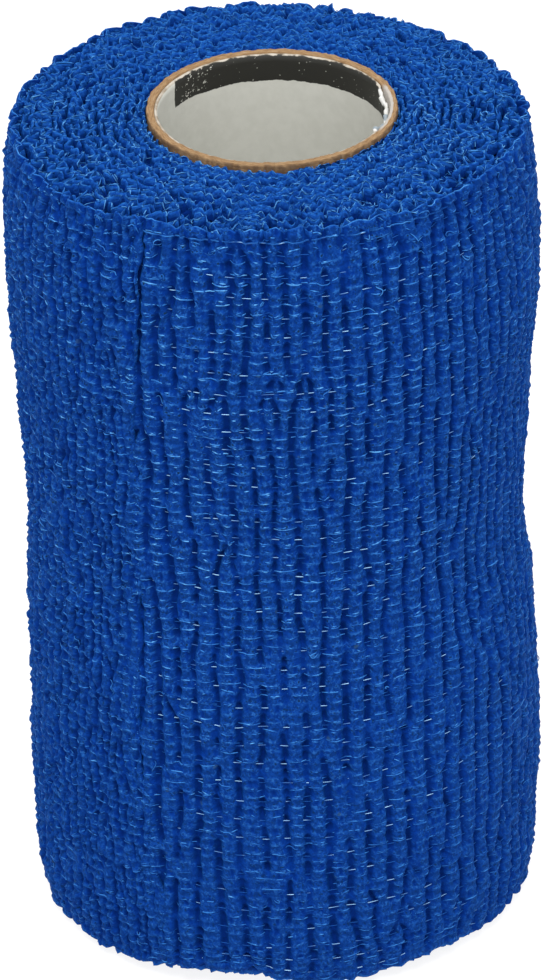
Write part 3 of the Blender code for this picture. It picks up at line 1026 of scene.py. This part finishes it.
def crepe_material():
    """Blue non-woven crepe: a speckled mesh on the ribs, plain sides, creases painted dark as
    shade, and rib tops and cut edges painted lighter as light.
    """
    paint = Paint(
        "crepe_cloth", Roughness=0.8, Sheen_Weight=0.11, Sheen_Roughness=0.5,
        Sheen_Tint=(0.02, 0.34, 1.0), Specular_IOR_Level=0.03,
    )
    ramp, times = paint.ramp, paint.times
    cloth = paint.attribute("cloth", "Vector")
    crest = paint.attribute("crest")
    edge = paint.attribute("edge")
    height = paint.part(cloth, "Y")
    rows = times(paint.math("SUBTRACT", height, ELASTIC_FIRST), 2 * math.pi / YARN_STEP)
    row = paint.math("COSINE", rows)
    mottle = paint.noise(cloth, 2.1, 4.0, 0.65)
    mesh = paint.grain(cloth, (3.0, 2.4, 1.0), 2.0, 0.55)
    fibres = paint.grain(cloth, (1.3, 5.0, 1.0), 3.0, 0.6)
    slow = paint.noise(cloth, 0.16)
    lengths = paint.grain(cloth, (0.75, 0.83, 1.0), 1.0, 0.4)
    crisp = ramp(height, 5.0, 70.0, 0.55, 1.0)

    # The ribs' sides and their tops, the tops painted lighter as painted light, with pores painted
    # dark as shade and glints as painted highlights between the rows of yarn
    side = paint.mix(ramp(mottle, 0.36, 0.64), (0.0005, 0.0188, 0.162), (0.0011, 0.033, 0.248))
    top = paint.mix(ramp(mottle, 0.38, 0.62), (0.0010, 0.0250, 0.178), (0.0042, 0.051, 0.288))
    pore_shade = times(ramp(mesh, 0.47, 0.34), ramp(row, -0.7, 0.4, 0.3, 0.9))
    top = paint.mix(pore_shade, top, (0.0035, 0.019, 0.062))
    glints = times(ramp(mesh, 0.54, 0.68), ramp(row, 0.6, -0.5, 0.15, 0.8))
    top = paint.mix(glints, top, (0.0230, 0.120, 0.400))
    top = paint.mix(ramp(fibres, 0.60, 0.76, 0.0, 0.5), top, (0.018, 0.110, 0.40))
    # painted light: the raised tops of the ribs take the lighter colour, as if lit from above
    paint.color = paint.mix(ramp(crest, 0.35, 0.80), side, top)

    # Open windows between the yarns painted dark as shade, and the yarns' own fine lines, lighter
    # in colour and partly a painted highlight
    # painted shade in the openings between the rows of yarn
    window_shade = times(ramp(row, -0.55, 0.5), ramp(crest, 0.55, 0.92))
    paint.coat(times(window_shade, ramp(lengths, 0.64, 0.40, 0.0, 0.62)), (0.0012, 0.019, 0.120))
    # the yarns' lighter colour along their rows, partly painted highlight where they cross the rib
    # tops
    lines = times(
        ramp(row, -0.60, -0.96), ramp(lengths, 0.46, 0.62), ramp(crest, 0.25, 0.70, 0.0, 0.75),
        crisp, ramp(mesh, 0.38, 0.58, 0.15, 1.0),
    )
    paint.coat(lines, (0.017, 0.115, 0.40))
    paint.coat(ramp(slow, 0.35, 0.65, 0.0, 0.2), (0.003, 0.035, 0.20))

    # Little rings of yarn, each round a hole painted dark as shade, and a few grey spots
    bent = paint.mix(0.30, cloth, paint.noise(cloth, 2.6, 1.0, output="Color"), "ADD")
    rings = paint.node("TexVoronoi", "Distance", {"Vector": bent, "Scale": 1.35})
    ringed = times(ramp(mottle, 0.46, 0.58), ramp(crest, 0.15, 0.5), crisp)
    ring = times(ramp(rings, 0.20, 0.27), ramp(rings, 0.43, 0.34))
    paint.coat(times(ring, times(ringed, 0.6)), (0.018, 0.115, 0.40))
    # painted shade: the dark hole inside each ring
    paint.coat(times(ramp(rings, 0.27, 0.14), ringed), (0.0050, 0.020, 0.055))
    spots = ramp(paint.noise(cloth, 0.8, 1.0, 0.4), 0.75, 0.80, 0.0, 0.4)
    paint.coat(spots, (0.035, 0.08, 0.10))

    # The creases painted dark as shade, and the cut edges painted lighter with their bright yarn,
    # partly their own colour and partly painted highlight
    # painted shade: the creases, the small cells and the lower parts of the turns' edges take this
    # dark colour
    dark = ramp(paint.attribute("depth"), 0.22, 0.56, 0.0, 0.71)
    paint.coat(dark, (0.0004, 0.0145, 0.132))
    # the cut edges' lighter colour, partly painted highlight where they face up
    edge_colour_and_highlight = paint.mix(ramp(mesh, 0.34, 0.66), (0.0028, 0.042, 0.268), (0.0108, 0.095, 0.410))
    paint.coat(ramp(edge, 0.45, 0.92, 0.0, 0.95), edge_colour_and_highlight)
    thread = times(ramp(edge, 0.88, 0.97), ramp(mottle, 0.46, 0.60), 0.75)
    paint.coat(thread, (0.036, 0.205, 0.60))
    return paint.finish(paint.plus(mottle, mesh, times(fibres, 0.5)), 0.16, 0.8)


def yarn_material():
    """Fine light blue yarn, brightest where its tone is highest."""
    paint = Paint("surface_yarn", Roughness=0.5, Specular_IOR_Level=0.06)
    tone = paint.attribute("tone")
    paint.color = paint.mix(paint.ramp(tone, 0.0, 0.8), (0.005, 0.065, 0.31), (0.032, 0.180, 0.54))
    paint.coat(paint.ramp(tone, 0.75, 1.2), (0.10, 0.34, 0.72))
    return paint.finish()


def elastic_material():
    """Pale elastic thread, bluer where the cloth hugs it."""
    paint = Paint("elastic_thread", Roughness=0.5, Specular_IOR_Level=0.05)
    wear = paint.plus(paint.noise(paint.place(), 420.0, 1.0, 0.5), paint.attribute("tone"))
    paint.color = paint.mix(paint.ramp(wear, 0.75, 1.35), (0.012, 0.095, 0.37), (0.38, 0.68, 1.00))
    return paint.finish()


def board_material():
    """Tan paperboard, with the layers of its plies along the cut rim, and a dark line of painted
    shade round its outer edge.
    """
    paint = Paint("kraft_paperboard", Roughness=0.85, Specular_IOR_Level=0.25)
    ramp, times, plus = paint.ramp, paint.times, paint.plus
    place = paint.attribute("cloth", "Vector")
    radius = paint.part(place, "Y")
    plies = paint.grain(place, (0.9, 7.0, 3.0), 4.0, 0.65)
    stains = paint.grain(place, (0.5, 1.5, 1.0), 3.0, 0.6)
    paint.color = paint.mix(ramp(plies, 0.34, 0.66), (0.215, 0.122, 0.056), (0.355, 0.226, 0.115))
    paint.coat(ramp(stains, 0.56, 0.74, 0.0, 0.5), (0.43, 0.32, 0.21))
    paint.coat(ramp(stains, 0.42, 0.30, 0.0, 0.5), (0.14, 0.078, 0.040))
    # painted shade: a dark brown ragged line round the outer edge, where the cloth meets the board
    ragged = plus(radius, times(stains, 0.5))
    paint.coat(ramp(ragged, 14.22, 14.38, 0.0, 0.7), (0.100, 0.056, 0.030))
    ply = plus(radius, times(plies, 0.45))
    ply = times(ramp(ply, 13.86, 13.74), paint.attribute("depth"), 0.85)
    paint.coat(ply, (0.46, 0.44, 0.41))
    return paint.finish(plies, 0.10, 0.7)


def paper_material():
    """White paper with a plain dark band inside the core, worn along its edges."""
    paint = Paint("lining_paper", Roughness=0.55, Specular_IOR_Level=0.4)
    ramp, times, plus = paint.ramp, paint.times, paint.plus
    place, cloth = paint.place(), paint.attribute("cloth", "Vector")
    from_band, height = paint.part(cloth, "X"), paint.part(cloth, "Y")
    fibres = paint.noise(place, 700.0, 3.0, 0.6)
    fine = paint.noise(place, 3600.0)
    patch = paint.noise(place, 170.0)
    paint.color = paint.mix(ramp(fibres, 0.3, 0.7), (0.58, 0.58, 0.53), (0.62, 0.62, 0.57))
    rim = paint.mix(ramp(fibres, 0.40, 0.62), (0.30, 0.245, 0.18), (0.50, 0.455, 0.385))
    paint.coat(ramp(height, 99.50, 99.72), rim)
    wear = times(paint.math("SUBTRACT", fibres, 0.5), 0.55)
    height, from_band = plus(height, wear), plus(from_band, times(wear, 5.0))
    flecks = plus(fine, times(ramp(patch, 0.50, 0.66), 0.10))
    band = times(
        ramp(height, 96.52, 96.60), ramp(height, 99.80, 99.72),
        ramp(from_band, BAND_HALF + 0.4, BAND_HALF - 0.2), ramp(flecks, 0.76, 0.70),
    )
    paint.coat(band, (0.018, 0.018, 0.015))
    torn = paint.attribute("depth")
    paint.coat(ramp(torn, 0.15, 0.5), (0.68, 0.68, 0.66))
    paint.coat(ramp(times(torn, patch), 0.42, 0.52, 0.0, 0.8), (0.17, 0.23, 0.28))
    return paint.finish(fibres, 0.03, 0.4)


def floor_material():
    """A pale floor that glows a little, so that shadows on it stay faint."""
    paint = Paint(
        "studio_floor", Roughness=0.9, Specular_IOR_Level=0.1,
        Emission_Color=(1.0, 1.0, 1.0), Emission_Strength=FLOOR_GLOW,
    )
    mottle = paint.noise(paint.place(), 3.0)
    paint.color = paint.mix(mottle, (0.22, 0.22, 0.22), (0.24, 0.24, 0.24))
    return paint.finish()


# ---------------------------------------------------------------- studio


def camera():
    """The photograph's view: a long lens, looking down, turned slightly about its axis."""
    data = bpy.data.cameras.new("camera")
    data.sensor_width = SENSOR
    data.lens = SENSOR * FOCAL_PIXELS / FRAME_HEIGHT
    data.clip_start = 0.05
    tilt = math.radians(ELEVATION)
    back = Vector((0.0, -math.cos(tilt), math.sin(tilt)))
    view = add("camera", data)
    view.matrix_world = (
        Matrix.Translation(Vector(TARGET_M) + DISTANCE_M * back)
        @ Matrix.Rotation(math.radians(90.0 - ELEVATION), 4, "X")
        @ Matrix.Rotation(math.radians(-ROLL), 4, "Z")
    )
    bpy.context.scene.camera = view


def soft_light():
    """One large square light from above the front."""
    data = bpy.data.lights.new("key", "AREA")
    data.size = LIGHT_SIZE_M
    data.energy = LIGHT_POWER
    light = add("key", data)
    light.location = LIGHT_PLACE_M
    towards = Vector(LIGHT_AIM_M) - Vector(LIGHT_PLACE_M)
    light.rotation_euler = towards.to_track_quat("-Z", "Y").to_euler()


def studio():
    """A pale floor, an even surround and the light."""
    world = bpy.data.worlds.new("studio")
    world.use_nodes = True
    surround = world.node_tree.nodes["Background"]
    surround.inputs["Color"].default_value = (1.0, 1.0, 1.0, 1.0)
    surround.inputs["Strength"].default_value = SURROUND
    bpy.context.scene.world = world
    bpy.context.scene.view_settings.view_transform = "Standard"
    soft_light()
    half = FLOOR_HALF_M
    mesh = bpy.data.meshes.new("floor")
    corners = [(-half, -half, 0), (half, -half, 0), (half, half, 0), (-half, half, 0)]
    mesh.from_pydata(corners, [], [(0, 1, 2, 3)])
    mesh.materials.append(floor_material())
    add("floor", mesh)


# ---------------------------------------------------------------- all of it


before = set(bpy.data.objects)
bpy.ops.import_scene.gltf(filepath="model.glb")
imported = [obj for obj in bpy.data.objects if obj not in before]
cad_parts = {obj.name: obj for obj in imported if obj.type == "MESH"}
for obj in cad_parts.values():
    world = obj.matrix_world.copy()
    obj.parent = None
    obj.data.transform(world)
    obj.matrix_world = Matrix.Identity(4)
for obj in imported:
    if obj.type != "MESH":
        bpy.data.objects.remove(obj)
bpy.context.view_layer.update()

camera()
studio()

outer = OuterTurn(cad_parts["bandage_roll"])
relief = Relief(7)
crepe, yarn, elastic = crepe_material(), yarn_material(), elastic_material()

cloth = outer_wall(outer, relief, crepe) + [
    elastic_threads(outer, relief, elastic),
    surface_yarns(outer, relief, True, yarn),
    surface_yarns(outer, relief, False, yarn),
    yarn_loops(outer, relief, yarn),
    rim_thread(outer, relief, False, yarn),
    rim_thread(outer, relief, True, elastic),
    edge_thread(outer, relief, yarn),
]
for end, seed, step, yarns in ENDS:
    spiral = EndSpiral(outer, end == "top", seed)
    cloth.append(turn_edges(spiral, step, f"turn_edges_{end}", crepe))
    cloth.append(edge_yarns(spiral, yarns, f"edge_yarns_{end}", yarn))
cloth.append(inner_turns(outer, crepe))
for piece in cloth:
    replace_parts(piece, "bandage_roll")

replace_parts(core_board(board_material()), "core_tube")
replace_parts(core_paper(paper_material()), "core_liner")
